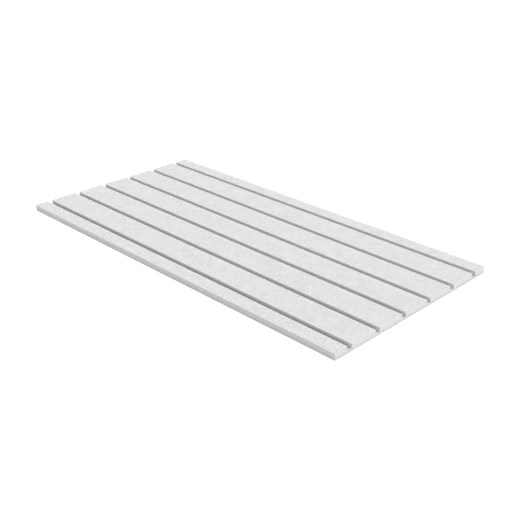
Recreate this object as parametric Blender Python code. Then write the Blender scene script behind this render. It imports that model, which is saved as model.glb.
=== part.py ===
"""Slatted felt panel: a flat backing sheet of pressed felt that carries seven lengthwise felt strips.

Five full strips lie between two half strips, so that panels laid side by side keep one rhythm.
Each strip is held to the backing by its own film of heat-activated glue, and nothing moves.
X runs along the strips, Y across them and Z up; the origin is the centre of the flat back.
"""

import bmesh
import bpy

# Driving dimensions, in metres.
panel_length = 1.200
full_strip_count = 5
strip_width = 0.085
edge_strip_width = 0.0425
groove_width = 0.015
backing_thickness = 0.006
strip_thickness = 0.0111
bond_thickness = 0.0003
bond_setback = 0.004
touch_gap = 0.0003
strip_edge_round = 0.0005
backing_edge_round = 0.0015
round_segments = 3

# What follows from them.
panel_width = (
    full_strip_count * strip_width + 2 * edge_strip_width + (full_strip_count + 1) * groove_width
)
bond_bottom = backing_thickness + touch_gap
strip_bottom = bond_bottom + bond_thickness + touch_gap

felt_color = (0.72, 0.72, 0.72, 1.0)
backing_color = (0.68, 0.68, 0.68, 1.0)
bond_color = (0.80, 0.79, 0.74, 1.0)


def clear_scene():
    for obj in list(bpy.data.objects):
        bpy.data.objects.remove(obj)


def make_material(name, color, roughness):
    material = bpy.data.materials.new(name)
    material.use_nodes = True
    shader = material.node_tree.nodes["Principled BSDF"]
    shader.inputs["Base Color"].default_value = color
    shader.inputs["Roughness"].default_value = roughness
    shader.inputs["Metallic"].default_value = 0.0
    return material


def make_slab(name, length, width, bottom, thickness, centre_y, material, parent):
    """A rectangular slab centred on the panel's length, with its underside at height bottom."""
    mesh = bpy.data.meshes.new(name)
    shape = bmesh.new()
    bmesh.ops.create_cube(shape, size=1.0)
    bmesh.ops.scale(shape, vec=(length, width, thickness), verts=shape.verts)
    shape.to_mesh(mesh)
    shape.free()
    mesh.materials.append(material)
    slab = bpy.data.objects.new(name, mesh)
    slab.location = (0.0, centre_y, bottom + thickness / 2)
    slab.parent = parent
    bpy.context.scene.collection.objects.link(slab)
    return slab


def round_edges(slab, radius, at_top):
    """Softens the four edges round the top face, or round the bottom face, where the felt is cut."""
    shape = bmesh.new()
    shape.from_mesh(slab.data)
    height = max if at_top else min
    level = height(vertex.co.z for vertex in shape.verts)
    rim = [edge for edge in shape.edges if all(vertex.co.z == level for vertex in edge.verts)]
    bmesh.ops.bevel(
        shape, geom=rim, offset=radius, segments=round_segments, profile=0.5, affect="EDGES"
    )
    shape.to_mesh(slab.data)
    shape.free()


def strip_layout():
    """Name, width and centre of each strip, from the low-Y edge of the panel to the high-Y edge."""
    widths = [edge_strip_width] + [strip_width] * full_strip_count + [edge_strip_width]
    names = (
        ["edge_strip_front"]
        + [f"face_strip_{number}" for number in range(1, full_strip_count + 1)]
        + ["edge_strip_rear"]
    )
    layout = []
    low_side = -panel_width / 2
    for name, width in zip(names, widths):
        layout.append((name, width, low_side + width / 2))
        low_side += width + groove_width
    return layout


def make_backing(material, parent):
    backing = make_slab(
        "backing_sheet", panel_length, panel_width, 0.0, backing_thickness, 0.0, material, parent
    )
    round_edges(backing, backing_edge_round, at_top=False)


def make_strip(name, width, centre_y, material, parent):
    strip = make_slab(
        name, panel_length, width, strip_bottom, strip_thickness, centre_y, material, parent
    )
    round_edges(strip, strip_edge_round, at_top=True)


def make_bond_film(strip_name, width, centre_y, material, parent):
    """The glue film under a strip stops short of the strip's edges, where it would be squeezed out."""
    make_slab(
        "bond_film_" + strip_name,
        panel_length - 2 * bond_setback,
        width - 2 * bond_setback,
        bond_bottom,
        bond_thickness,
        centre_y,
        material,
        parent,
    )


def main():
    clear_scene()
    panel = bpy.data.objects.new("panel", None)
    bpy.context.scene.collection.objects.link(panel)
    face_felt = make_material("face_felt", felt_color, 0.95)
    backing_felt = make_material("backing_felt", backing_color, 0.95)
    glue_film = make_material("glue_film", bond_color, 0.45)
    make_backing(backing_felt, panel)
    for name, width, centre_y in strip_layout():
        make_strip(name, width, centre_y, face_felt, panel)
        make_bond_film(name, width, centre_y, glue_film, panel)


main()
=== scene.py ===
import math

import bpy
import numpy as np
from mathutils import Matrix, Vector


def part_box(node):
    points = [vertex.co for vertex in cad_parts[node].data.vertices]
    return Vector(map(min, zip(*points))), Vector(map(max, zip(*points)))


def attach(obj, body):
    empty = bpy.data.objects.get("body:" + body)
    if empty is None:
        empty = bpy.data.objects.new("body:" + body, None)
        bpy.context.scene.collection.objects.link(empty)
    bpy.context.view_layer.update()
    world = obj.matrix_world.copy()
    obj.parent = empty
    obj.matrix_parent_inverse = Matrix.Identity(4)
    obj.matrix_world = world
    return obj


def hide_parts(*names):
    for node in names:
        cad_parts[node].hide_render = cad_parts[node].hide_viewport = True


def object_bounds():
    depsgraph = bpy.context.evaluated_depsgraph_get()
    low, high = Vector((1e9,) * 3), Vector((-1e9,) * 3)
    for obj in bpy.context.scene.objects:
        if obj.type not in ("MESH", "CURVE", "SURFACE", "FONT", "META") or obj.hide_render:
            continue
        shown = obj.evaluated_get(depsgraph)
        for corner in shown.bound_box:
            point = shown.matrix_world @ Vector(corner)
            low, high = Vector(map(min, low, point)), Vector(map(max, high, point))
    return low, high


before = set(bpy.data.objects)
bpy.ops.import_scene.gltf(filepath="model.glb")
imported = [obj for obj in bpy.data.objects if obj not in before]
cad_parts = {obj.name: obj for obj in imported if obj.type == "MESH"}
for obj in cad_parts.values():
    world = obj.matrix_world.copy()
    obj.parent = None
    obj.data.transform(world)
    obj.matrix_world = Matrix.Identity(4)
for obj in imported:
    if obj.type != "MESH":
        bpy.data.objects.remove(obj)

boxLow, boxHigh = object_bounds()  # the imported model's box, before anything is added
scene = bpy.context.scene
print("frame loaded:", len(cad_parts), "nodes")

backingNode = "backing_sheet"
stripNodes = sorted(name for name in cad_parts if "strip" in name and "film" not in name)
filmNodes = sorted(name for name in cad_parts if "film" in name)


# One number output of a node; + - and * with numbers or other values add Math nodes.
class Value:
    def __init__(self, sheet, socket):
        self.sheet = sheet
        self.socket = socket

    def math(self, operation, first, second):
        made = self.sheet.node("ShaderNodeMath", {"operation": operation}, {0: first, 1: second})
        return Value(self.sheet, made.outputs[0])

    def __add__(self, other):
        return self.math("ADD", self, other)

    def __sub__(self, other):
        return self.math("SUBTRACT", self, other)

    def __rsub__(self, other):
        return self.math("SUBTRACT", other, self)

    def __mul__(self, other):
        return self.math("MULTIPLY", self, other)

    __radd__ = __add__
    __rmul__ = __mul__


# One material's node tree.
class Sheet:
    def __init__(self, name):
        self.material = bpy.data.materials.new(name)
        self.material.use_nodes = True
        self.tree = self.material.node_tree
        self.shader = self.tree.nodes["Principled BSDF"]
        self.place = self.node("ShaderNodeTexCoord").outputs["Object"]

    def node(self, kind, settings=None, sockets=None):
        made = self.tree.nodes.new(kind)
        for key, value in (settings or {}).items():
            setattr(made, key, value)
        for key, value in (sockets or {}).items():
            self.feed(made.inputs[key], value)
        return made

    def feed(self, target, value):
        source = value.socket if isinstance(value, Value) else value
        if isinstance(source, bpy.types.NodeSocket):
            self.tree.links.new(source, target)
        else:
            target.default_value = source

    def laid(self, cell, turn=0.0, shift=(0.0, 0.0, 0.0)):  # place, turned and measured in cells
        settings = {"vector_type": "TEXTURE"}
        sockets = {"Vector": self.place, "Location": shift, "Rotation": (0, 0, turn), "Scale": cell}
        return self.node("ShaderNodeMapping", settings, sockets).outputs["Vector"]

    def noise(self, vector, detail=2.0, rough=0.5, warp=0.0):  # about -0.5 to 0.5
        sockets = {"Vector": vector, "Scale": 1.0, "Detail": detail, "Roughness": rough}
        sockets["Distortion"] = warp
        made = self.node("ShaderNodeTexNoise", {"noise_dimensions": "3D"}, sockets)
        return Value(self, made.outputs["Fac"]) - 0.5

    def held(self, value, low, high):  # value brought to 0 at low and 1 at high, and kept there
        settings = {"clamp": True, "interpolation_type": "SMOOTHSTEP"}
        sockets = {"Value": value, "From Min": low, "From Max": high}
        return Value(self, self.node("ShaderNodeMapRange", settings, sockets).outputs["Result"])

    def blend(self, share, first, second):  # two colours mixed
        made = self.node("ShaderNodeMix", {"data_type": "RGBA"}, {"Factor": share})
        self.feed(made.inputs[6], first)
        self.feed(made.inputs[7], second)
        return made.outputs[2]

    def attribute(self, name):
        return Value(self, self.node("ShaderNodeAttribute", {"attribute_name": name}).outputs["Fac"])


def grey(level, warmth=0.0):  # a near neutral colour
    return (level * (1 + warmth), level, level * (1 - warmth), 1.0)


feltLook = {
    "faceDark": 0.49, "faceLight": 0.71,  # pressed face, darkest and lightest tone
    "cutShadedDark": 0.45, "cutShadedLight": 0.51,  # knife-cut faces, darker partly as cut felt where fibre ends trap light and partly as painted shade on the sides and groove walls
    "wornHighlightTone": 0.80, "wornHighlightShare": 0.55,  # rubbed edges, paler as wear and as a painted highlight, where raised fibre tips catch light
    "wornHighlightEven": 0.7, "wornHighlightMottle": 0.6,  # the part of the rub and painted highlight that is even, and that follows the tone
    "blotchCell": 0.026, "blotchShare": 0.39,  # cloudy mottling, metres and share of the tone
    "fibreLength": 0.011, "fibreWidth": 0.0026, "fibreShare": 0.75,
    "fibreTurns": (0.35, 1.45, 2.50),  # radians, three crossing lays
    "grainCell": 0.0012, "grainShare": 0.35, "grainBump": 0.6, "grainRoughness": 0.12,
    "layerLength": 0.022, "layerThick": 0.0011, "layerShare": 0.9, "layerBump": 0.45,
    "blotchNoise": (3.0, 0.6, 0.4), "fibreNoise": (2.0, 0.55, 0.8),  # detail, roughness, warp
    "grainNoise": (2.0, 0.6, 0.0), "layerNoise": (2.0, 0.6, 0.3),
    "roughness": 0.93, "sheen": 0.06, "sheenRoughness": 0.5, "specular": 0.12,
    "bumpStrength": 0.55, "bumpDepth": 0.0005,
}


# Tone is half, plus cloudy noise, plus the sum of three turned and stretched fibre noises, plus fine
# grain; on cut faces long thin layers take the place of the fibres and the tone is darker, partly as cut
# felt and partly as painted shade; rubbed edges pale, as wear and as a painted highlight.
def feltMaterial(name, look, shift, darker=1.0):
    sheet = Sheet(name)
    cut = sheet.attribute("cutFace")
    wornHighlight = sheet.attribute("wornHighlightEdge")
    cell, fine = look["blotchCell"], look["grainCell"]
    blotch = sheet.noise(sheet.laid((cell, cell, cell), 0.0, shift), *look["blotchNoise"])
    long, thin = look["fibreLength"], look["fibreWidth"]
    lays = [sheet.noise(sheet.laid((long, thin, thin), turn, shift), *look["fibreNoise"])
            for turn in look["fibreTurns"]]
    fibres = lays[0] + lays[1] + lays[2]
    grain = sheet.noise(sheet.laid((fine, fine, fine), 0.0, shift), *look["grainNoise"])
    layerCell = (look["layerLength"], look["layerLength"], look["layerThick"])
    layers = sheet.noise(sheet.laid(layerCell, 0.0, shift), *look["layerNoise"])
    shared = grain * look["grainShare"] + blotch * look["blotchShare"] + 0.5
    faceShare = sheet.held(fibres * look["fibreShare"] + shared, 0.0, 1.0)
    cutShade = sheet.held(layers * look["layerShare"] + shared, 0.0, 1.0)
    tones = {name: grey(look[name] * darker)
             for name in ("faceDark", "faceLight", "cutShadedDark", "cutShadedLight", "wornHighlightTone")}
    faceColor = sheet.blend(faceShare, tones["faceDark"], tones["faceLight"])
    # painted shade: sides and groove walls take a darker tone than the top, partly the cut felt's own
    # tone
    cutShadedColor = sheet.blend(cutShade, tones["cutShadedDark"], tones["cutShadedLight"])
    plain = sheet.blend(cut, faceColor, cutShadedColor)
    # painted highlight: the long top edges are paled towards the rubbed tone, partly wear and partly
    # light caught on the edge
    rubbedHighlight = wornHighlight * (faceShare * look["wornHighlightMottle"] + look["wornHighlightEven"]) * look["wornHighlightShare"]
    color = sheet.blend(rubbedHighlight, plain, tones["wornHighlightTone"])
    sheet.feed(sheet.shader.inputs["Base Color"], color)
    sheet.feed(sheet.shader.inputs["Roughness"], grain * look["grainRoughness"] + look["roughness"])
    height = fibres * (1 - cut) + layers * cut * look["layerBump"] + grain * look["grainBump"]
    bump = sheet.node("ShaderNodeBump", {}, {
        "Strength": look["bumpStrength"], "Distance": look["bumpDepth"], "Height": height})
    sheet.feed(sheet.shader.inputs["Normal"], bump.outputs["Normal"])
    sheet.shader.inputs["Sheen Weight"].default_value = look["sheen"]
    sheet.shader.inputs["Sheen Roughness"].default_value = look["sheenRoughness"]
    sheet.shader.inputs["Specular IOR Level"].default_value = look["specular"]
    return sheet.material


# Random values on a lattice of the given cell, smoothly blended between its corners, from -1 to 1.
def latticeNoise(points, cell, seed):
    scaled = points / np.asarray(cell, float)
    corner = np.floor(scaled).astype(np.int64)
    inside = scaled - corner
    inside = inside * inside * (3 - 2 * inside)
    total = np.zeros(len(points))
    for step in range(8):
        offset = np.array([step & 1, (step >> 1) & 1, step >> 2])
        weight = np.prod(np.where(offset == 1, inside, 1 - inside), axis=1)
        total += weight * hashed(corner + offset, seed)
    return total


scramble = {  # large odd numbers that spread neighbouring cells apart, and a 32-bit word
    "cell": np.array([374761393, 668265263, 1442695041]), "seed": 1013904223,
    "turn": 1274126177, "word": 0xffffffff, "firstShift": 13, "lastShift": 16,
}


# A fixed scramble of three whole numbers and a seed into one value from -1 to 1.
def hashed(cells, seed):
    word = scramble["word"]
    mixed = (cells @ scramble["cell"] + seed * scramble["seed"]) & word
    mixed = ((mixed ^ (mixed >> scramble["firstShift"])) * scramble["turn"]) & word
    mixed = mixed ^ (mixed >> scramble["lastShift"])
    return mixed / (word / 2) - 1.0


# Places along a side: a few close ones across the round at each end, then even steps between.
def stations(low, high, step, firstRound, lastRound, across=4):
    close = 1 - np.cos(np.linspace(0, math.pi / 2, across + 1))
    count = max(2, int(round((high - low - firstRound - lastRound) / step)))
    middle = np.linspace(low + firstRound, high - lastRound, count + 1)[1:-1]
    return np.concatenate([low + firstRound * close, middle, high - lastRound * close[::-1]])


# The grid's border in order, anticlockwise from above, as indices into a grid of nx by ny.
def rim(nx, ny):
    index = np.arange(nx * ny).reshape(nx, ny)
    return np.concatenate([index[:, 0], index[-1, 1:], index[-2::-1, -1], index[0, -2:0:-1]])


# A flat grid of xs by ys at height z.
def plate(xs, ys, z):
    across, along = np.meshgrid(xs, ys, indexing="ij")
    return np.stack([across.ravel(), along.ravel(), np.full(across.size, z)], axis=1)


# Four neighbours for each cell of an nx by ny grid whose points begin at start, in the order that
# faces up, or the other way round.
def gridQuads(nx, ny, start, upward):
    index = np.arange(nx * ny).reshape(nx, ny) + start
    corners = [index[:-1, :-1], index[1:, :-1], index[1:, 1:], index[:-1, 1:]]
    quads = np.stack([corner.ravel() for corner in corners], axis=1)
    return quads if upward else quads[:, ::-1]


# Two rows of border points, one above the other, joined by quads that face outwards.
def wallQuads(lower, upper):
    ahead = np.roll(np.arange(len(lower)), -1)
    return np.stack([lower, lower[ahead], upper[ahead], upper], axis=1)


# A box whose edges are rounded: each point is pushed out from the nearest point of the box shrunk
# by the side round. Near the bottom and top, heights are stretched first so that the foot and
# head rounds may be flatter than the side round. Returns the points and the way they face.
def roundOff(points, low, high, shape):
    side, foot, head = shape["sideRound"], shape["footRound"], shape["headRound"]
    footTop, headBottom = low[2] + foot, high[2] - head
    heights = points[:, 2]
    lifted = np.where(heights < footTop, footTop + (heights - footTop) * side / foot, heights)
    lifted = np.where(heights > headBottom, headBottom + (heights - headBottom) * side / head, lifted)
    stretched = np.column_stack([points[:, :2], lifted])
    innerLow = [low[0] + side, low[1] + side, footTop]
    innerHigh = [high[0] - side, high[1] - side, headBottom]
    inner = np.clip(stretched, innerLow, innerHigh)
    away = stretched - inner
    away /= np.linalg.norm(away, axis=1)[:, None]
    placed = inner + away * side
    heights = placed[:, 2]
    lowered = np.where(heights < footTop, footTop + (heights - footTop) * foot / side, heights)
    lowered = np.where(heights > headBottom, headBottom + (heights - headBottom) * head / side, lowered)
    return np.column_stack([placed[:, :2], lowered]), away


reliefLook = {  # heights and cell sizes in metres
    "swell": 0.00007, "swellCell": (0.030, 0.024, 0.030),
    "press": 0.00005, "pressCell": (0.0085, 0.0065, 0.008),
    "pile": 0.00004, "pileCell": (0.0042, 0.0036, 0.003),
    "layer": 0.00006, "layerCell": (0.012, 0.012, 0.0011),
    "knife": 0.00010, "knifeCell": (0.16, 0.16, 0.03),
}


# Relief in metres, never above zero: soft swells, press marks and pile on the pressed faces, and
# thin layers with a slow knife wander on the cut ones.
def feltRelief(points, cut, look, seed):
    swell = latticeNoise(points, look["swellCell"], seed) * look["swell"]
    press = latticeNoise(points, look["pressCell"], seed + 1) * look["press"]
    pile = latticeNoise(points, look["pileCell"], seed + 2) * look["pile"]
    layer = latticeNoise(points, look["layerCell"], seed + 3) * look["layer"]
    knife = latticeNoise(points, look["knifeCell"], seed + 4) * look["knife"]
    face = swell + press + pile - look["swell"] - look["press"] - look["pile"]
    side = layer + knife + pile - look["layer"] - look["knife"] - look["pile"]
    return face * (1 - cut) + side * cut


# How far a normal has turned from straight up or down towards level, from 0 to 1.
def cutShare(normals):
    return 1 - normals[:, 2] ** 2


# One on the two long top edges, where wear and a painted highlight are laid, falling to nought at the
# highlight reach in from them and at the highlight drop below them; the fall is bent by the highlight
# curve.
def wornHighlightShare(points, low, high, shape):
    inward = np.minimum(points[:, 1] - low[1], high[1] - points[:, 1])
    downward = high[2] - points[:, 2]
    farthest = np.maximum(inward / shape["wornHighlightReach"], downward / shape["wornHighlightDrop"])
    return np.clip(1 - farthest, 0, 1) ** shape["wornHighlightCurve"]


# One mesh object on the fixed body, with how cut and how rubbed each point is as attributes; the rub also
# carries a painted highlight.
def newPiece(name, points, faces, smooth, cut, wornHighlight, material):
    mesh = bpy.data.meshes.new(name)
    mesh.from_pydata(points.tolist(), [], faces)
    mesh.polygons.foreach_set("use_smooth", smooth)
    for label, values in (("cutFace", cut), ("wornHighlightEdge", wornHighlight)):
        mesh.attributes.new(label, "FLOAT", "POINT").data.foreach_set("value", values.astype(np.float32))
    mesh.materials.append(material)
    mesh.update()
    mesh.validate()
    piece = bpy.data.objects.new(name, mesh)
    scene.collection.objects.link(piece)
    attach(piece, "root")
    return piece


stripShape = {
    "sideRound": 0.0005, "headRound": 0.0005, "footRound": 0.00025,
    "alongStep": 0.0016, "acrossStep": 0.0017, "heightStep": 0.0007,
    "lipWidth": 0.0035, "wornHighlightReach": 0.0026, "wornHighlightDrop": 0.0012, "wornHighlightCurve": 0.7,
    "patternStep": (0.131, 0.077, 0.0),  # metres for each seed, so that no two strips match
}


# A strip: a finely gridded top and walls, and below them a lip all round that meets the backing,
# with a flat recess inside it for the glue film.
def stripPiece(node, seamHeight, seed, shape):
    low, high = (np.array(corner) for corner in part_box(node))
    recessTop = low[2]
    low[2] = seamHeight
    side = shape["sideRound"]
    xs = stations(low[0], high[0], shape["alongStep"], side, side)
    ys = stations(low[1], high[1], shape["acrossStep"], side, side)
    zs = stations(low[2], high[2], shape["heightStep"], shape["footRound"], shape["headRound"])[:-1]
    top = plate(xs, ys, high[2])
    border = rim(len(xs), len(ys))
    ringCount = len(border)
    walls = np.concatenate([np.column_stack([top[border, :2], np.full(ringCount, z)]) for z in zs])
    placed, normals = roundOff(np.concatenate([walls, top]), low, high, shape)
    cut = cutShare(normals)
    wornHighlight = wornHighlightShare(placed, low, high, shape)
    placed += normals * feltRelief(placed, cut, reliefLook, seed)[:, None]
    placed[:ringCount, 2] = low[2]
    rings = [np.arange(ringCount) + ringCount * k for k in range(len(zs))]
    rings.append(border + ringCount * len(zs))
    quads = [wallQuads(lower, upper) for lower, upper in zip(rings[:-1], rings[1:])]
    quads.append(gridQuads(len(xs), len(ys), ringCount * len(zs), True))
    faces = np.concatenate(quads).tolist()
    smoothCount = len(faces)
    lip = shape["lipWidth"]  # from here on, the flat lip and the recess inside it
    inner = plate([low[0] + lip, high[0] - lip], [low[1] + lip, high[1] - lip], low[2])[[0, 2, 3, 1]]
    ceiling = inner + [0, 0, recessTop - low[2]]
    first = len(placed)
    corners = np.cumsum([0, len(xs) - 1, len(ys) - 1, len(xs) - 1])
    for edge in range(4):
        ahead = (edge + 1) % 4
        outer = np.arange(corners[edge], corners[edge] + (len(xs), len(ys))[edge % 2]) % ringCount
        faces.append([first + edge, first + ahead] + outer[::-1].tolist())
        faces.append([first + ahead, first + edge, first + 4 + edge, first + 4 + ahead])
    faces.append([first + 7, first + 6, first + 5, first + 4])
    smooth = np.arange(len(faces)) < smoothCount
    points = np.concatenate([placed, inner, ceiling])
    hidden = np.zeros(len(inner) + len(ceiling))
    shift = tuple(step * seed for step in shape["patternStep"])
    material = feltMaterial("felt_" + node, feltLook, shift)
    shares = np.append(cut, hidden), np.append(wornHighlight, hidden)
    piece = newPiece("felt_" + node, points, faces, smooth, *shares, material)
    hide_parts(node)
    return piece


backingShape = {
    "sideRound": 0.0015, "headRound": 0.00025, "footRound": 0.0015,
    "alongStep": 0.0050, "acrossStep": 0.0040, "heightStep": 0.0007,
    "patternShift": (0.4, 0.9, 0.0), "darker": 0.95,
}


# The backing: one gridded slab, its top face seen at the bottom of the grooves.
def backingPiece(seed, shape):
    low, high = (np.array(corner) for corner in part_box(backingNode))
    side = shape["sideRound"]
    xs = stations(low[0], high[0], shape["alongStep"], side, side)
    ys = stations(low[1], high[1], shape["acrossStep"], side, side)
    zs = stations(low[2], high[2], shape["heightStep"], shape["footRound"], shape["headRound"])[1:-1]
    bottom = plate(xs, ys, low[2])
    top = plate(xs, ys, high[2])
    border = rim(len(xs), len(ys))
    ringCount = len(border)
    walls = np.concatenate([np.column_stack([top[border, :2], np.full(ringCount, z)]) for z in zs])
    placed, normals = roundOff(np.concatenate([walls, bottom, top]), low, high, shape)
    cut = cutShare(normals)
    placed += normals * feltRelief(placed, cut, reliefLook, seed)[:, None]
    startBottom = len(walls)
    startTop = startBottom + len(bottom)
    rings = [border + startBottom]
    rings += [np.arange(ringCount) + ringCount * k for k in range(len(zs))]
    rings.append(border + startTop)
    quads = [wallQuads(lower, upper) for lower, upper in zip(rings[:-1], rings[1:])]
    quads.append(gridQuads(len(xs), len(ys), startBottom, False))
    quads.append(gridQuads(len(xs), len(ys), startTop, True))
    faces = np.concatenate(quads).tolist()
    material = feltMaterial("felt_backing", feltLook, shape["patternShift"], shape["darker"])
    smooth = np.ones(len(faces), bool)
    piece = newPiece("felt_backing_sheet", placed, faces, smooth, cut, np.zeros(len(cut)), material)
    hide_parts(backingNode)
    return piece


assembly = {"seamGap": 0.00005, "backingSeed": 3, "firstStripSeed": 11, "stripSeedStep": 5}
backing = backingPiece(assembly["backingSeed"], backingShape)
print("backing sheet made:", len(backing.data.polygons), "faces")
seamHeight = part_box(backingNode)[1].z + assembly["seamGap"]
for number, node in enumerate(stripNodes):
    seed = assembly["firstStripSeed"] + assembly["stripSeedStep"] * number
    strip = stripPiece(node, seamHeight, seed, stripShape)
    print(node, "made:", len(strip.data.polygons), "faces")


filmLook = {
    "thin": 0.62, "thinWarmth": 0.03, "thick": 0.80, "thickWarmth": 0.02,
    "cell": 0.006, "cloudNoise": (3.0, 0.6, 0.5), "cloudEdge": 0.25,
    "roughness": 0.45, "cloudRoughness": 0.3, "bump": 0.3, "bumpDepth": 0.0002,
}


# Milky tone and roughness that both follow one cloudy noise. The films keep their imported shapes.
def filmMaterial(look):
    sheet = Sheet("glue_film")
    cell = look["cell"]
    cloud = sheet.noise(sheet.laid((cell, cell, cell)), *look["cloudNoise"])
    share = sheet.held(cloud, -look["cloudEdge"], look["cloudEdge"])
    thin = grey(look["thin"], look["thinWarmth"])
    thick = grey(look["thick"], look["thickWarmth"])
    color = sheet.blend(share, thin, thick)
    sheet.feed(sheet.shader.inputs["Base Color"], color)
    sheet.feed(sheet.shader.inputs["Roughness"], cloud * look["cloudRoughness"] + look["roughness"])
    bump = sheet.node("ShaderNodeBump", {}, {
        "Strength": look["bump"], "Distance": look["bumpDepth"], "Height": cloud})
    sheet.feed(sheet.shader.inputs["Normal"], bump.outputs["Normal"])
    return sheet.material


film = filmMaterial(filmLook)
for name in filmNodes:
    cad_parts[name].data.materials.clear()
    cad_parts[name].data.materials.append(film)
print("glue films finished:", len(filmNodes))


stageLook = {
    "floorReach": 30.0, "floorDrop": 0.0002, "floorBounce": 0.8,
    "footInset": 0.0005, "footPaintedShade": 0.08,  # painted shade: a dark colour on the ground under the panel's rounded foot
    "skyStrength": 0.48, "whiteShown": 1.05,
    "lamps": (  # name, bearing, height, strength; soft, and mostly from the far right
        ("key", 160.0, 35.0, 2.41),
        ("keySide", 135.0, 20.0, 1.46),
        ("fill", 45.0, 20.0, 1.37),
        ("fillFront", 0.0, 12.0, 0.69),
    ),
    "lampSpread": 25.0,
}


def awayFrom(azimuth, elevation):  # unit vector towards a place seen at that bearing and height
    a, e = math.radians(azimuth), math.radians(elevation)
    return Vector((math.sin(a) * math.cos(e), -math.cos(a) * math.cos(e), math.sin(e)))


# A matt floor that looks plain white, except for the ground under the panel, where a dark colour is
# painted as shade, seen by the camera and in the bounce: there the greater of |x| - half length and |y| -
# half width is below minus the foot inset.
def floorMaterial(look):
    sheet = Sheet("floor_white")
    sheet.shader.inputs["Roughness"].default_value = 1.0
    sheet.shader.inputs["Specular IOR Level"].default_value = 0.0
    split = sheet.node("ShaderNodeSeparateXYZ", {}, {"Vector": sheet.place})
    alongX = Value(sheet, split.outputs["X"])
    alongY = Value(sheet, split.outputs["Y"])
    pastEnd = alongX.math("ABSOLUTE", alongX, 0.0) - boxHigh.x
    pastSide = alongY.math("ABSOLUTE", alongY, 0.0) - boxHigh.y
    clear = pastEnd.math("MAXIMUM", pastEnd, pastSide)
    clear = clear.math("GREATER_THAN", clear, -look["footInset"])
    # painted shade under the panel's foot, in place of a contact shadow
    tone = sheet.blend(clear, grey(look["footPaintedShade"]), grey(look["floorBounce"]))
    sheet.feed(sheet.shader.inputs["Base Color"], tone)
    seen = Value(sheet, sheet.node("ShaderNodeLightPath").outputs["Is Camera Ray"]) * clear
    white = sheet.node("ShaderNodeEmission", {}, {"Strength": look["whiteShown"]}).outputs[0]
    mixed = sheet.node("ShaderNodeMixShader", {}, {0: seen, 1: sheet.shader.outputs[0], 2: white})
    sheet.feed(sheet.tree.nodes["Material Output"].inputs["Surface"], mixed.outputs[0])
    return sheet.material


# An even white surround to look at, whose light on the object has its own strength.
def makeSky(strength, whiteShown):
    world = bpy.data.worlds.new("studio")
    world.use_nodes = True
    tree = world.node_tree
    lit = tree.nodes["Background"]
    lit.inputs["Color"].default_value = (1, 1, 1, 1)
    lit.inputs["Strength"].default_value = strength
    white = tree.nodes.new("ShaderNodeBackground")
    white.inputs["Color"].default_value = (1, 1, 1, 1)
    white.inputs["Strength"].default_value = whiteShown
    seen = tree.nodes.new("ShaderNodeLightPath")
    mixed = tree.nodes.new("ShaderNodeMixShader")
    tree.links.new(seen.outputs["Is Camera Ray"], mixed.inputs[0])
    tree.links.new(lit.outputs[0], mixed.inputs[1])
    tree.links.new(white.outputs[0], mixed.inputs[2])
    tree.links.new(mixed.outputs[0], tree.nodes["World Output"].inputs["Surface"])
    scene.world = world


# A far, soft lamp that shines from the given bearing and height, its softness in degrees.
def makeLamp(name, azimuth, elevation, strength, spread):
    lamp = bpy.data.lights.new(name, "SUN")
    lamp.energy = strength
    lamp.angle = math.radians(spread)
    holder = bpy.data.objects.new(name, lamp)
    holder.rotation_euler = awayFrom(azimuth, elevation).to_track_quat("Z", "Y").to_euler()
    scene.collection.objects.link(holder)


# One level square, a hair below the panel's back.
def makeFloor(look):
    reach, drop = look["floorReach"], -look["floorDrop"]
    mesh = bpy.data.meshes.new("floor")
    corners = [(-reach, -reach, drop), (reach, -reach, drop), (reach, reach, drop), (-reach, reach, drop)]
    mesh.from_pydata(corners, [], [(0, 1, 2, 3)])
    mesh.materials.append(floorMaterial(look))
    floor = bpy.data.objects.new("floor", mesh)
    scene.collection.objects.link(floor)


cameraView = {
    "azimuth": 45.03, "elevation": 25.875, "lens": 58.06,  # degrees, degrees, millimetres
    "aim": (0.1588, -0.0876), "distance": 2.2222, "sensor": 36.0,
}


# The camera stands at its distance from the aim along its bearing and height, and looks back at it.
def makeCamera(look):
    lens = bpy.data.cameras.new("camera")
    lens.lens = look["lens"]
    lens.sensor_width = look["sensor"]
    camera = bpy.data.objects.new("camera", lens)
    back = awayFrom(look["azimuth"], look["elevation"])
    aim = Vector((*look["aim"], boxHigh.z))
    camera.location = aim + back * look["distance"]
    camera.rotation_mode = "QUATERNION"
    camera.rotation_quaternion = (-back).to_track_quat("-Z", "Y")
    scene.collection.objects.link(camera)
    scene.camera = camera


makeFloor(stageLook)
makeSky(stageLook["skyStrength"], stageLook["whiteShown"])
for lampLook in stageLook["lamps"]:
    makeLamp(*lampLook, stageLook["lampSpread"])
makeCamera(cameraView)
scene.view_settings.view_transform = "Standard"
print("stage and camera ready")
